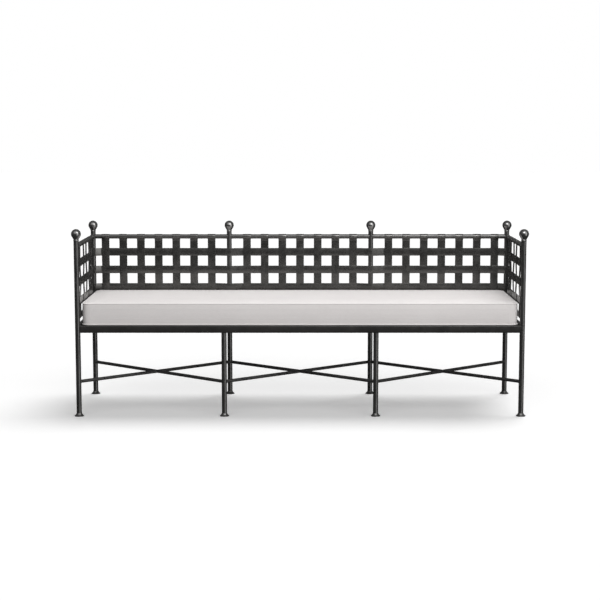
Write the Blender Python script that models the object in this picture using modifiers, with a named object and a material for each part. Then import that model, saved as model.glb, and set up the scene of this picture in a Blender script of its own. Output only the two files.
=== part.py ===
"""Daybed with a metal frame: ball-topped tube posts, a woven strap lattice on three sides,
crossed stretchers between the legs, and one loose box cushion.

Metres, +Z up. X runs along the daybed, +Y points to its back, and the origin is on the floor
at the middle of its plan.
"""
import math

import bmesh
import bpy
from mathutils import Matrix, Vector

# Driving dimensions -------------------------------------------------------------------------
STRAP_PITCH = 0.087          # from one upright strap to the next
STRAPS_EACH_SIDE = 11        # back lattice positions on each side of the middle one
ARM_STRAPS = 6
ARM_FRONT_GAP = 0.0275       # from an arm's front post centre to its first strap's centre
ARM_BACK_GAP = 0.034         # from its last strap's centre to the back post's centre
ARM_SHIFT = -0.0085          # the four straps between them sit this far forward
END_GAP = 0.060              # corner post's centre to the back's nearest upright strap's centre
POST_POSITION = 4            # lattice position that a middle post takes

TOP_RAIL_Z = 0.785
LOW_RAIL_Z = 0.459
STRAP_ROWS_Z = (0.709, 0.622, 0.535)
SEAT_RAIL_TOP = 0.421
SEAT_RAIL_HEIGHT = 0.033
STRETCHER_Z = 0.161
POST_TOP = 0.8105
BALL_Z = 0.8405

# Stock sizes ---------------------------------------------------------------------------------
POST_RADIUS = 0.0120
RAIL_RADIUS = 0.0107
TUBE_WALL = 0.0018
BALL_RADIUS = 0.0225
FOOT_RADIUS = 0.0223
FOOT_HEIGHT = 0.014
STRAP_WIDTH = 0.038
STRAP_THICKNESS = 0.0016
SEAT_RAIL_WIDTH = 0.020
SLAT_WIDTH = 0.038
SLAT_THICKNESS = 0.003
STRETCHER_RADIUS = 0.00775

# Cushion -------------------------------------------------------------------------------------
CUSHION_HALF_LENGTH = 0.999
CUSHION_FRONT = -0.2850
CUSHION_BACK = 0.2530
CUSHION_HEIGHT = 0.0985
CUSHION_CORNER = 0.036
CUSHION_EDGE = 0.0070
COVER_THICKNESS = 0.0012
FOAM_GAP = 0.0008
ZIP_LENGTH = 1.10
ZIP_WIDTH = 0.010
WELT_RADIUS = 0.0024
WELT_INSET = 0.0006

# Fits ----------------------------------------------------------------------------------------
GAP = 0.0003                 # between pieces that touch
TUBE_SIDES = 16
CORNER_SEGMENTS = 5

# Worked out ----------------------------------------------------------------------------------
HALF_LENGTH = STRAPS_EACH_SIDE * STRAP_PITCH + END_GAP
HALF_DEPTH = ((ARM_STRAPS - 1) * STRAP_PITCH + 2 * END_GAP) / 2
MID_POST_X = POST_POSITION * STRAP_PITCH
WEAVE = (STRAP_THICKNESS + GAP) / 2
SPIGOT_RADIUS = POST_RADIUS - TUBE_WALL - GAP
SEAT_TOP = SEAT_RAIL_TOP + GAP
ROUND_POST_OFFSET = POST_RADIUS + GAP + STRAP_THICKNESS / 2
LOOP_STEP = math.radians(30)
LOOP_RADIUS = (RAIL_RADIUS + GAP + STRAP_THICKNESS / 2) / math.cos(LOOP_STEP / 2) + 0.0001

COLUMNS_X = {"left": -HALF_LENGTH, "mid_left": -MID_POST_X,
             "mid_right": MID_POST_X, "right": HALF_LENGTH}
BAYS = {"left": (-HALF_LENGTH, -MID_POST_X), "middle": (-MID_POST_X, MID_POST_X),
        "right": (MID_POST_X, HALF_LENGTH)}


# Scene and materials -------------------------------------------------------------------------
def empty_scene():
    for obj in list(bpy.data.objects):
        bpy.data.objects.remove(obj, do_unlink=True)


def new_collection(name):
    collection = bpy.data.collections.new(name)
    bpy.context.scene.collection.children.link(collection)
    return collection


def new_material(name, colour, roughness, metallic):
    material = bpy.data.materials.new(name)
    material.use_nodes = True
    shader = material.node_tree.nodes["Principled BSDF"]
    shader.inputs["Base Color"].default_value = (*colour, 1.0)
    shader.inputs["Roughness"].default_value = roughness
    shader.inputs["Metallic"].default_value = metallic
    return material


class Builder:
    """Holds the collections and materials that every sub-part uses."""

    def __init__(self):
        self.parts = new_collection("daybed")
        self.cutters = new_collection("cutters")
        self.iron = (0.040, 0.039, 0.038)

    def place(self, mesh, name, matrix=None):
        obj = bpy.data.objects.new(name, mesh)
        obj.matrix_world = matrix or Matrix.Identity(4)
        self.parts.objects.link(obj)
        return obj

    def metal(self, obj):
        paint = new_material("paint_" + obj.name, self.iron, 0.42, 0.55)
        obj.data.materials.append(paint)
        return obj

    def cloth(self, obj, colour):
        fabric = new_material("fabric_" + obj.name, colour, 0.92, 0.0)
        obj.data.materials.append(fabric)
        return obj

    def cutter(self, mesh, name, matrix=None):
        obj = bpy.data.objects.new(name, mesh)
        obj.matrix_world = matrix or Matrix.Identity(4)
        obj.hide_render = True
        obj.display_type = "WIRE"
        self.cutters.objects.link(obj)
        return obj


def boolean(obj, other, operation):
    modifier = obj.modifiers.new(operation.lower(), "BOOLEAN")
    modifier.operation = operation
    modifier.solver = "EXACT"
    modifier.object = other


def solidify(obj, thickness, offset=0.0):
    modifier = obj.modifiers.new("thickness", "SOLIDIFY")
    modifier.thickness = thickness
    modifier.offset = offset
    modifier.use_even_offset = True


# Shapes --------------------------------------------------------------------------------------
def outline_mesh(name, points, closed):
    """A chain of edges in the XZ plane: the profile of a turned piece."""
    mesh = bpy.data.meshes.new(name)
    count = len(points)
    edges = [(i, i + 1) for i in range(count - 1)]
    if closed:
        edges.append((count - 1, 0))
    mesh.from_pydata([(x, 0.0, z) for x, z in points], edges, [])
    return mesh


def turned(obj, sides):
    """Spins the object's profile about its own Z axis."""
    screw = obj.modifiers.new("turn", "SCREW")
    screw.axis = "Z"
    screw.angle = math.tau
    screw.steps = sides
    screw.render_steps = sides
    screw.use_merge_vertices = True
    screw.merge_threshold = 0.00002
    return obj


def tube_profile(radius, wall, low, high):
    inner = radius - wall
    return [(radius, high), (radius, low), (inner, low), (inner, high)]


def box_mesh(name, size):
    mesh = bpy.data.meshes.new(name)
    form = bmesh.new()
    bmesh.ops.create_cube(form, size=1.0)
    bmesh.ops.scale(form, vec=size, verts=form.verts)
    form.to_mesh(mesh)
    form.free()
    return mesh


def rod_mesh(name, radius, length, sides):
    mesh = bpy.data.meshes.new(name)
    form = bmesh.new()
    bmesh.ops.create_cone(form, cap_ends=True, segments=sides, radius1=radius,
                          radius2=radius, depth=length)
    form.to_mesh(mesh)
    form.free()
    return mesh


def ribbon_mesh(name, path, across, half_width):
    """An open strip: the path's points, each spread both ways along the direction across."""
    mesh = bpy.data.meshes.new(name)
    form = bmesh.new()
    side = Vector(across) * half_width
    rows = [(form.verts.new(Vector(point) - side), form.verts.new(Vector(point) + side))
            for point in path]
    for (a, b), (c, d) in zip(rows, rows[1:]):
        form.faces.new((a, b, d, c))
    form.to_mesh(mesh)
    form.free()
    return mesh


def rounded_outline(half_x, y_front, y_back, radius, segments):
    """Points of a rounded rectangle, anticlockwise seen from above."""
    corners = [(half_x, y_back, 0), (-half_x, y_back, 1),
               (-half_x, y_front, 2), (half_x, y_front, 3)]
    points = []
    for x, y, quarter in corners:
        centre_x = x - math.copysign(radius, x)
        centre_y = y - math.copysign(radius, y)
        for step in range(segments + 1):
            angle = (quarter + step / segments) * math.pi / 2
            points.append((centre_x + radius * math.cos(angle),
                           centre_y + radius * math.sin(angle)))
    return points


def prism_mesh(name, outline, low, high):
    mesh = bpy.data.meshes.new(name)
    form = bmesh.new()
    base = form.faces.new([form.verts.new((x, y, low)) for x, y in outline])
    grown = bmesh.ops.extrude_face_region(form, geom=[base])
    moved = [item for item in grown["geom"] if isinstance(item, bmesh.types.BMVert)]
    bmesh.ops.translate(form, vec=(0.0, 0.0, high - low), verts=moved)
    bmesh.ops.recalc_face_normals(form, faces=form.faces)
    form.to_mesh(mesh)
    form.free()
    return mesh


def bevel_sharp(obj, width, segments):
    modifier = obj.modifiers.new("edges", "BEVEL")
    modifier.width = width
    modifier.segments = segments
    modifier.limit_method = "ANGLE"
    modifier.angle_limit = math.radians(50)


def along_x(x, y, z):
    """Places a piece made along Z so that it lies along X."""
    return Matrix.Translation((x, y, z)) @ Matrix.Rotation(math.pi / 2, 4, "Y")


def along_y(x, y, z):
    """Places a piece made along Z so that it lies along Y."""
    return Matrix.Translation((x, y, z)) @ Matrix.Rotation(-math.pi / 2, 4, "X")


# Posts, finials and feet ---------------------------------------------------------------------
def post_places():
    """Each post's name, centre and top: the two front middle posts are legs only."""
    for side, x in COLUMNS_X.items():
        leg_top = SEAT_RAIL_TOP - SEAT_RAIL_HEIGHT - GAP
        yield "front_" + side, x, -HALF_DEPTH, leg_top if "mid" in side else POST_TOP
        yield "back_" + side, x, HALF_DEPTH, POST_TOP


def add_post(kit, name, x, y, top):
    profile = tube_profile(POST_RADIUS, TUBE_WALL, FOOT_HEIGHT + GAP, top)
    mesh = outline_mesh("post_" + name, profile, closed=True)
    post = kit.place(mesh, "post_" + name, Matrix.Translation((x, y, 0)))
    kit.metal(turned(post, TUBE_SIDES))


def finial_profile():
    """A ball whose underside runs straight down to a small collar, with a spigot below it."""
    collar_radius = POST_RADIUS + 0.0014
    collar_low = POST_TOP + GAP
    collar_high = collar_low + 0.0035
    arc_end = math.radians(-38)
    arc_steps = 7
    points = [(0.0, BALL_Z + BALL_RADIUS)]
    for step in range(1, arc_steps + 1):
        angle = math.pi / 2 + (arc_end - math.pi / 2) * step / arc_steps
        points.append((BALL_RADIUS * math.cos(angle), BALL_Z + BALL_RADIUS * math.sin(angle)))
    points.append((POST_RADIUS - 0.0004, collar_high + 0.0015))
    points.append((collar_radius, collar_high))
    points.append((collar_radius, collar_low))
    points.append((SPIGOT_RADIUS, collar_low))
    points.append((SPIGOT_RADIUS, collar_low - 0.020))
    points.append((0.0, collar_low - 0.020))
    return points


def add_finial(kit, name, x, y):
    mesh = outline_mesh("finial_" + name, finial_profile(), closed=False)
    finial = kit.place(mesh, "finial_" + name, Matrix.Translation((x, y, 0)))
    kit.metal(turned(finial, TUBE_SIDES))


def add_foot(kit, name, x, y):
    """A flared foot plug: a spigot inside the tube, a cone, and a thin flat disc edge."""
    edge = 0.003
    spigot_top = FOOT_HEIGHT + 0.022
    profile = [(0.0, spigot_top), (SPIGOT_RADIUS, spigot_top), (SPIGOT_RADIUS, FOOT_HEIGHT),
               (POST_RADIUS + 0.0006, FOOT_HEIGHT), (POST_RADIUS + 0.0040, edge + 0.0040),
               (FOOT_RADIUS, edge), (FOOT_RADIUS, 0.0), (0.0, 0.0)]
    mesh = outline_mesh("foot_" + name, profile, closed=False)
    foot = kit.place(mesh, "foot_" + name, Matrix.Translation((x, y, 0)))
    kit.metal(turned(foot, TUBE_SIDES))


def add_post_clearances(kit):
    """Cutters a gap wider than the posts, which cope the ends of whatever meets a post."""
    clearances = {}
    height = POST_TOP + 0.05
    for name, x, y, _ in post_places():
        mesh = rod_mesh("room_" + name, POST_RADIUS + GAP, height, TUBE_SIDES)
        turn = Matrix.Rotation(math.pi / TUBE_SIDES, 4, "Z")
        shift = Matrix.Translation((x, y, height / 2))
        turn = turn if needs_turn(mesh) else Matrix.Identity(4)
        clearances[name] = kit.cutter(mesh, "room_" + name, shift @ turn)
    return clearances


def needs_turn(mesh):
    """Whether a cylinder's corners fall between the X and Y axes, unlike a turned tube's."""
    widest = max(vertex.co.x for vertex in mesh.vertices)
    radius = max(vertex.co.xy.length for vertex in mesh.vertices)
    return widest < radius - 1e-6


# Round rails ---------------------------------------------------------------------------------
def add_round_rail(kit, name, start, end, rooms):
    """A tube between two posts' centres, coped to both posts."""
    start, end = Vector(start), Vector(end)
    length = (end - start).length
    mesh = outline_mesh(name, tube_profile(RAIL_RADIUS, TUBE_WALL, -length / 2, length / 2), True)
    centre = (start + end) / 2
    lies_along_x = abs(end.x - start.x) > abs(end.y - start.y)
    matrix = along_x(*centre) if lies_along_x else along_y(*centre)
    rail = kit.place(mesh, name, matrix)
    turned(rail, TUBE_SIDES)
    for room in rooms:
        boolean(rail, room, "DIFFERENCE")
    return kit.metal(rail)


# The woven lattice ---------------------------------------------------------------------------
class Panel:
    """One side's lattice. A point in it is along, out (away from the sitter) and up.

    The straps cross in the plane at out = plane: 0 is the plane of the rails' own centres.
    The turned uprights hang on the other side of the rails.
    """

    def __init__(self, name, origin, along, out, uprights, plane, turned=()):
        self.name = name
        self.plane = plane
        self.turned = turned
        self.origin = Vector(origin)
        self.along = Vector(along)
        self.out = Vector(out)
        self.uprights = uprights

    def point(self, along, out, up):
        return self.origin + self.along * along + self.out * out + Vector((0, 0, up))


def upright_in_front(index, row):
    return (index + row) % 2 == 1


def crossing_reach():
    """Half the length over which two straps lie flat on each other."""
    return STRAP_WIDTH / 2 + 0.0005


def crossing_plane(panel, index):
    return -panel.plane if index in panel.turned else panel.plane


def upright_path(panel, along, index):
    """Round the top rail, down through the three rows, and into the low rail's wall."""
    side = -1 if index in panel.turned else 1
    path = []
    for step in range(9 if panel.plane else 10):
        angle = math.radians(-45) - LOOP_STEP * step
        out = -LOOP_RADIUS * math.sin(angle)
        up = TOP_RAIL_Z - LOOP_RADIUS * math.cos(angle)
        path.append(panel.point(along, side * out, up))
    if not panel.plane:
        path.append(panel.point(along, 0.0, TOP_RAIL_Z - LOOP_RADIUS - 0.006))
    for row, height in enumerate(STRAP_ROWS_Z):
        out = crossing_plane(panel, index) + (-WEAVE if upright_in_front(index, row) else WEAVE)
        path.append(panel.point(along, out, height + crossing_reach()))
        path.append(panel.point(along, out, height - crossing_reach()))
    if panel.plane:
        lap = -side * (RAIL_RADIUS - 0.0006)
        path.append(panel.point(along, lap, LOW_RAIL_Z + 0.012))
        path.append(panel.point(along, lap, LOW_RAIL_Z - 0.006))
    else:
        path.append(panel.point(along, 0.0, LOW_RAIL_Z + RAIL_RADIUS - 0.0010))
    return path


def add_upright_comb(kit, panel, name, start, end, indices, rooms):
    """A stretch of low rail with its upright straps welded into it."""
    rail = add_round_rail(kit, name, panel.point(start, 0, LOW_RAIL_Z),
                          panel.point(end, 0, LOW_RAIL_Z), [])
    for index in indices:
        along = panel.uprights[index]
        mesh = ribbon_mesh(f"{name}_{index}", upright_path(panel, along, index),
                           panel.along, STRAP_WIDTH / 2)
        strap = kit.cutter(mesh, f"{name}_strap_{index}")
        solidify(strap, STRAP_THICKNESS)
        boolean(rail, strap, "UNION")
    for room in rooms:
        boolean(rail, room, "DIFFERENCE")


def row_path(panel, row, before, after):
    """A level strap: over and under the uprights, and in front of any post it passes.

    before and after are the (along, out) places it also goes through at its two ends.
    """
    height = STRAP_ROWS_Z[row]
    places = list(before)
    for index, along in sorted(panel.uprights.items()):
        if panel.name == "back" and abs(index) == POST_POSITION:
            out, half = -ROUND_POST_OFFSET, 0.006
        else:
            half = crossing_reach()
            out = crossing_plane(panel, index) + (WEAVE if upright_in_front(index, row) else -WEAVE)
        places += [(along - half, out), (along + half, out)]
    return [panel.point(along, out, height) for along, out in places + list(after)]


def add_level_strap(kit, name, path):
    mesh = ribbon_mesh(name, path, (0, 0, 1), STRAP_WIDTH / 2)
    strap = kit.place(mesh, name)
    solidify(strap, STRAP_THICKNESS)
    kit.metal(strap)


def back_panel():
    uprights = {index: index * STRAP_PITCH
                for index in range(-STRAPS_EACH_SIDE, STRAPS_EACH_SIDE + 1)}
    return Panel("back", (0, HALF_DEPTH, 0), (1, 0, 0), (0, 1, 0), uprights, 0.0)


def arm_panel(side):
    """An arm's straps lie on its rails' inner sides, but for the last, which is outside."""
    sign = -1 if side == "left" else 1
    last = ARM_STRAPS - 1
    uprights = {index: (index - last / 2) * STRAP_PITCH + ARM_SHIFT for index in range(last)}
    uprights[0] = -HALF_DEPTH + ARM_FRONT_GAP
    uprights[last] = HALF_DEPTH - ARM_BACK_GAP
    plane = -LOOP_RADIUS * math.cos(LOOP_STEP / 2)
    return Panel(side, (sign * HALF_LENGTH, 0, 0), (0, 1, 0), (sign, 0, 0), uprights, plane,
                 (last,))


def add_back(kit, rooms):
    panel = back_panel()
    for bay, (start, end) in BAYS.items():
        ends = [rooms["back_" + side] for side, x in COLUMNS_X.items() if x in (start, end)]
        add_round_rail(kit, f"top_rail_back_{bay}", (start, HALF_DEPTH, TOP_RAIL_Z),
                       (end, HALF_DEPTH, TOP_RAIL_Z), ends)
        inside = [index for index, x in panel.uprights.items() if start < x < end
                  and abs(index) != POST_POSITION]
        add_upright_comb(kit, panel, f"low_rail_and_uprights_back_{bay}", start, end,
                         inside, ends)
    lap = HALF_LENGTH - 0.004
    bend = panel.uprights[STRAPS_EACH_SIDE] + crossing_reach() + 0.030
    before = [(-lap, -ROUND_POST_OFFSET), (-bend, -ROUND_POST_OFFSET)]
    after = [(bend, -ROUND_POST_OFFSET), (lap, -ROUND_POST_OFFSET)]
    for row in range(len(STRAP_ROWS_Z)):
        path = row_path(panel, row, before, after)
        add_level_strap(kit, f"woven_strap_back_{row + 1}", path)


def back_rail_room(kit, name, z):
    """A cutter along the back rail, so that an arm's rail stops at its side."""
    mesh = rod_mesh(name, RAIL_RADIUS + GAP, 2 * HALF_LENGTH, TUBE_SIDES)
    return kit.cutter(mesh, name, along_x(0.0, HALF_DEPTH, z))


def add_arm(kit, side, rooms):
    panel = arm_panel(side)
    x = panel.origin.x
    posts = [rooms["front_" + side], rooms["back_" + side]]
    top_ends = posts + [back_rail_room(kit, f"room_top_rail_{side}", TOP_RAIL_Z)]
    low_ends = posts + [back_rail_room(kit, f"room_low_rail_{side}", LOW_RAIL_Z)]
    add_round_rail(kit, f"top_rail_arm_{side}", (x, -HALF_DEPTH, TOP_RAIL_Z),
                   (x, HALF_DEPTH, TOP_RAIL_Z), top_ends)
    add_upright_comb(kit, panel, f"low_rail_and_uprights_arm_{side}", -HALF_DEPTH, HALF_DEPTH,
                     range(ARM_STRAPS), low_ends)
    front_lap = [(-HALF_DEPTH - 0.004, -ROUND_POST_OFFSET),
                 (-HALF_DEPTH + 0.003, -ROUND_POST_OFFSET)]
    for row in range(len(STRAP_ROWS_Z)):
        path = row_path(panel, row, front_lap, [])
        add_level_strap(kit, f"woven_strap_arm_{side}_{row + 1}", path)


# Seat ----------------------------------------------------------------------------------------
def add_seat_rail(kit, name, start, end, rooms):
    """A rectangular tube on edge between two posts, coped to both."""
    start, end = Vector(start), Vector(end)
    span = end - start
    centre = (start + end) / 2
    lies_along_x = abs(span.x) > abs(span.y)
    wide, tall = SEAT_RAIL_WIDTH, SEAT_RAIL_HEIGHT
    hollow = 2 * TUBE_WALL
    if lies_along_x:
        size = (span.length, wide, tall)
        bore = (span.length + 0.02, wide - hollow, tall - hollow)
    else:
        size = (wide, span.length, tall)
        bore = (wide - hollow, span.length + 0.02, tall - hollow)
    rail = kit.place(box_mesh(name, size), name, Matrix.Translation(centre))
    inside = kit.cutter(box_mesh(name + "_bore", bore), name + "_bore",
                        Matrix.Translation(centre))
    boolean(rail, inside, "DIFFERENCE")
    for room in rooms:
        boolean(rail, room, "DIFFERENCE")
    kit.metal(rail)


def add_seat_rails(kit, rooms):
    z = SEAT_RAIL_TOP - SEAT_RAIL_HEIGHT / 2
    add_seat_rail(kit, "seat_rail_front", (-HALF_LENGTH, -HALF_DEPTH, z),
                  (HALF_LENGTH, -HALF_DEPTH, z), [rooms["front_left"], rooms["front_right"]])
    side_end = HALF_DEPTH - SEAT_RAIL_WIDTH / 2 - GAP
    for side, x in (("left", -HALF_LENGTH), ("right", HALF_LENGTH)):
        add_seat_rail(kit, "seat_rail_" + side, (x, -side_end, z), (x, side_end, z),
                      [rooms["front_" + side], rooms["back_" + side]])
    for bay, (start, end) in BAYS.items():
        ends = [rooms["back_" + side] for side, x in COLUMNS_X.items() if x in (start, end)]
        inset = POST_RADIUS / 2
        add_seat_rail(kit, "seat_rail_back_" + bay, (start + inset, HALF_DEPTH, z),
                      (end - inset, HALF_DEPTH, z), ends)


def bar_edges(low, high, count):
    """Edges of equal bars spread from low to high, the first and last flush with the ends."""
    step = (high - low - SLAT_WIDTH) / (count - 1)
    edges = []
    for index in range(count):
        edges += [low + index * step, low + index * step + SLAT_WIDTH]
    return edges


def add_seat_deck(kit, bay, start, end):
    """A welded grid of flat bars that carries the cushion in one bay."""
    clear = POST_RADIUS + GAP
    outer_left = clear if start == -HALF_LENGTH else GAP
    outer_right = clear if end == HALF_LENGTH else GAP
    xs = bar_edges(start + outer_left, end - outer_right, 5)
    ys = bar_edges(-HALF_DEPTH + clear, HALF_DEPTH - clear, 4)
    name = "seat_deck_" + bay
    mesh = bpy.data.meshes.new(name)
    form = bmesh.new()
    grid = [[form.verts.new((x, y, 0.0)) for y in ys] for x in xs]
    for i in range(len(xs) - 1):
        for j in range(len(ys) - 1):
            if i % 2 == 0 or j % 2 == 0:
                form.faces.new((grid[i][j], grid[i + 1][j], grid[i + 1][j + 1], grid[i][j + 1]))
    form.to_mesh(mesh)
    form.free()
    deck = kit.place(mesh, name, Matrix.Translation((0, 0, SEAT_RAIL_TOP - SLAT_THICKNESS / 2)))
    solidify(deck, SLAT_THICKNESS)
    kit.metal(deck)


# Stretchers ----------------------------------------------------------------------------------
def add_stretcher_pair(kit, bay, start, end, rooms):
    """Two diagonal rods in one plane, halved over each other where they cross."""
    names = {x: side for side, x in COLUMNS_X.items()}
    crossing = Vector(((start + end) / 2, 0.0, STRETCHER_Z))
    turns = []
    rods = []
    for rises, (x_front, x_back) in (("rising", (start, end)), ("falling", (end, start))):
        run = Vector((x_back - x_front, 2 * HALF_DEPTH, 0.0))
        turn = Vector((0, 0, 1)).rotation_difference(run.normalized()).to_matrix().to_4x4()
        name = f"stretcher_{bay}_{rises}"
        rod = kit.place(rod_mesh(name, STRETCHER_RADIUS, run.length, TUBE_SIDES), name,
                        Matrix.Translation(crossing) @ turn)
        boolean(rod, rooms["front_" + names[x_front]], "DIFFERENCE")
        boolean(rod, rooms["back_" + names[x_back]], "DIFFERENCE")
        turns.append(math.atan2(run.y, run.x))
        rods.append(rod)
    slot_height = STRETCHER_RADIUS + 0.004
    for rod, other_angle, lift in ((rods[0], turns[1], 1), (rods[1], turns[0], -1)):
        size = (0.10, 2 * STRETCHER_RADIUS + 2 * GAP, slot_height)
        middle = crossing + Vector((0, 0, lift * (slot_height / 2 - GAP / 2)))
        notch = kit.cutter(box_mesh(rod.name + "_notch", size), rod.name + "_notch",
                           Matrix.Translation(middle) @ Matrix.Rotation(other_angle, 4, "Z"))
        boolean(rod, notch, "DIFFERENCE")
        kit.metal(rod)


# Cushion -------------------------------------------------------------------------------------
def cushion_outline(inset, radius):
    return rounded_outline(CUSHION_HALF_LENGTH - inset, CUSHION_FRONT + inset,
                           CUSHION_BACK - inset, radius, CORNER_SEGMENTS)


def add_cushion_cover(kit):
    """A thin box cover round the foam, open along a zip slot in its back face."""
    low, high = SEAT_TOP, SEAT_TOP + CUSHION_HEIGHT
    cover = kit.place(prism_mesh("cushion_cover", cushion_outline(0, CUSHION_CORNER), low, high),
                      "cushion_cover")
    bevel_sharp(cover, CUSHION_EDGE, 1)
    wall = COVER_THICKNESS
    inside = kit.cutter(prism_mesh("cover_inside", cushion_outline(wall, CUSHION_CORNER - wall),
                                   low + wall, high - wall), "cover_inside")
    bevel_sharp(inside, CUSHION_EDGE - 0.0004, 1)
    zip_slot = kit.cutter(box_mesh("zip_slot", (ZIP_LENGTH, 0.02, ZIP_WIDTH)), "zip_slot",
                          Matrix.Translation((0, CUSHION_BACK, (low + high) / 2)))
    boolean(cover, inside, "DIFFERENCE")
    boolean(cover, zip_slot, "DIFFERENCE")
    kit.cloth(cover, (0.76, 0.74, 0.72))


def add_cushion_foam(kit):
    inset = COVER_THICKNESS + FOAM_GAP
    foam = kit.place(prism_mesh("cushion_foam", cushion_outline(inset, CUSHION_CORNER - inset),
                                SEAT_TOP + inset, SEAT_TOP + CUSHION_HEIGHT - inset),
                     "cushion_foam")
    bevel_sharp(foam, CUSHION_EDGE, 1)
    kit.cloth(foam, (0.85, 0.80, 0.62))


def add_welt(kit, name, z):
    """A round piping cord sewn along one edge of the cushion: a closed loop."""
    outline = cushion_outline(WELT_INSET, CUSHION_CORNER - WELT_INSET)
    curve = bpy.data.curves.new(name, "CURVE")
    curve.dimensions = "3D"
    curve.bevel_depth = WELT_RADIUS
    curve.bevel_resolution = 1
    spline = curve.splines.new("POLY")
    spline.points.add(len(outline) - 1)
    for point, (x, y) in zip(spline.points, outline):
        point.co = (x, y, z, 1.0)
    spline.use_cyclic_u = True
    welt = bpy.data.objects.new(name, curve)
    kit.parts.objects.link(welt)
    kit.cloth(welt, (0.72, 0.70, 0.68))


def add_cushion(kit):
    add_cushion_cover(kit)
    add_cushion_foam(kit)
    rise = WELT_RADIUS + GAP / 2
    add_welt(kit, "cushion_welt_top", SEAT_TOP + CUSHION_HEIGHT - rise)
    add_welt(kit, "cushion_welt_bottom", SEAT_TOP + rise)


def shade_round_pieces(kit):
    flat = ("seat_deck", "seat_rail")
    for obj in kit.parts.objects:
        if obj.type == "MESH" and not obj.name.startswith(flat):
            obj.data.shade_smooth()
            obj.data.set_sharp_from_angle(angle=math.radians(35))


def main():
    empty_scene()
    kit = Builder()
    for name, x, y, top in post_places():
        add_post(kit, name, x, y, top)
        add_foot(kit, name, x, y)
        if top == POST_TOP:
            add_finial(kit, name, x, y)
    rooms = add_post_clearances(kit)
    add_back(kit, rooms)
    add_arm(kit, "left", rooms)
    add_arm(kit, "right", rooms)
    add_seat_rails(kit, rooms)
    for bay, (start, end) in BAYS.items():
        add_seat_deck(kit, bay, start, end)
        add_stretcher_pair(kit, bay, start, end, rooms)
    add_cushion(kit)
    shade_round_pieces(kit)


main()
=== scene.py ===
"""Looks of the daybed: fine metalwork, woven straps, a sewn box cushion, a pale studio."""
import math

import bmesh
import bpy
from mathutils import Euler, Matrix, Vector, noise


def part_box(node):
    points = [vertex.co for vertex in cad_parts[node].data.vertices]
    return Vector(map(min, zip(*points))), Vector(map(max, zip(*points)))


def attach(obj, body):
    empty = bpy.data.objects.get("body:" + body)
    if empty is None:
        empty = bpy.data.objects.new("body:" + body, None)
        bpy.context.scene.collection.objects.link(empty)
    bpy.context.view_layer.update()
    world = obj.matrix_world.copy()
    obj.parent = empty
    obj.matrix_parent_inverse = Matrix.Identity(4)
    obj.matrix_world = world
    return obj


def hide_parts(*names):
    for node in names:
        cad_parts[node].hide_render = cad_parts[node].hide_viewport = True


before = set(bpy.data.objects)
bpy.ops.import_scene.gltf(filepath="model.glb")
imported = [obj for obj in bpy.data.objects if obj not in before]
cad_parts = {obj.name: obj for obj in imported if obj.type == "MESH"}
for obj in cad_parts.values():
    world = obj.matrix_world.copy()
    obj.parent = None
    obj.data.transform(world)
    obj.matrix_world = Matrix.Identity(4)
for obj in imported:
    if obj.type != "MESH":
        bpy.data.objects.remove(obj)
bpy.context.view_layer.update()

# Sizes ---------------------------------------------------------------------------------------
STRAP_THICKNESS = 0.0016
WOVEN_GAP = 0.0003           # between two straps where they cross
TOUCH = 0.0001               # between a strap and the rail it is bent round
BACK_PLACES = 11             # places for straps on each side of the back's middle one
POST_PLACE = 4               # the place that a middle post takes
ARM_STRAPS = 6
TUBE_SIDES = 48
BALL_SIDES = 64

X_AXIS = Vector((1, 0, 0))
Y_AXIS = Vector((0, 1, 0))
Z_AXIS = Vector((0, 0, 1))


# The frame's own places ----------------------------------------------------------------------
def middle(node):
    low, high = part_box(node)
    return (low + high) / 2


def size(node):
    low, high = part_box(node)
    return high - low


COLUMNS = ("left", "mid_left", "mid_right", "right")
BAYS = {"left": ("left", "mid_left"), "middle": ("mid_left", "mid_right"),
        "right": ("mid_right", "right")}
HALF_LENGTH = middle("post_back_right").x
HALF_DEPTH = middle("post_back_right").y
PITCH = middle("post_back_mid_right").x / POST_PLACE
POST_RADIUS = size("post_back_right").x / 2
RAIL_RADIUS = size("top_rail_back_middle").z / 2
TOP_RAIL_Z = middle("top_rail_back_middle").z
LOW_RAIL_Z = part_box("low_rail_and_uprights_back_middle")[0].z + RAIL_RADIUS
ROWS_Z = [middle(f"woven_strap_back_{row}").z for row in (1, 2, 3)]
STRAP_WIDTH = size("woven_strap_back_1").z
WEAVE = (STRAP_THICKNESS + WOVEN_GAP) / 2
ARM_PLANE = -(RAIL_RADIUS + 0.0012)      # the arm straps lie on the rails' inner sides
ARM_FRONT_GAP = 0.0275       # from an arm's front post centre to its first strap's centre
ARM_BACK_GAP = 0.034         # from its last strap's centre to the back post's centre
ARM_SHIFT = -0.0085          # the four straps between them sit this far forward
PAST_POST = POST_RADIUS + TOUCH + STRAP_THICKNESS / 2
LOOP_RADIUS = RAIL_RADIUS + TOUCH + STRAP_THICKNESS / 2
STRETCHER_Z = middle("stretcher_middle_rising").z
STRETCHER_RADIUS = size("stretcher_middle_rising").z / 2


# Materials -----------------------------------------------------------------------------------
PUCKER_START = 0.945         # the canvas begins to pucker this far from the middle,
PUCKER_END = 0.985           # and puckers fully from here on


def math_node(tree, operation, first, second):
    """The output of a math node whose two inputs are numbers or other nodes' outputs."""
    node = tree.nodes.new("ShaderNodeMath")
    node.operation = operation
    for socket, value in zip(node.inputs, (first, second)):
        if isinstance(value, (int, float)):
            socket.default_value = value
        else:
            tree.links.new(value, socket)
    return node.outputs[0]


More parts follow.
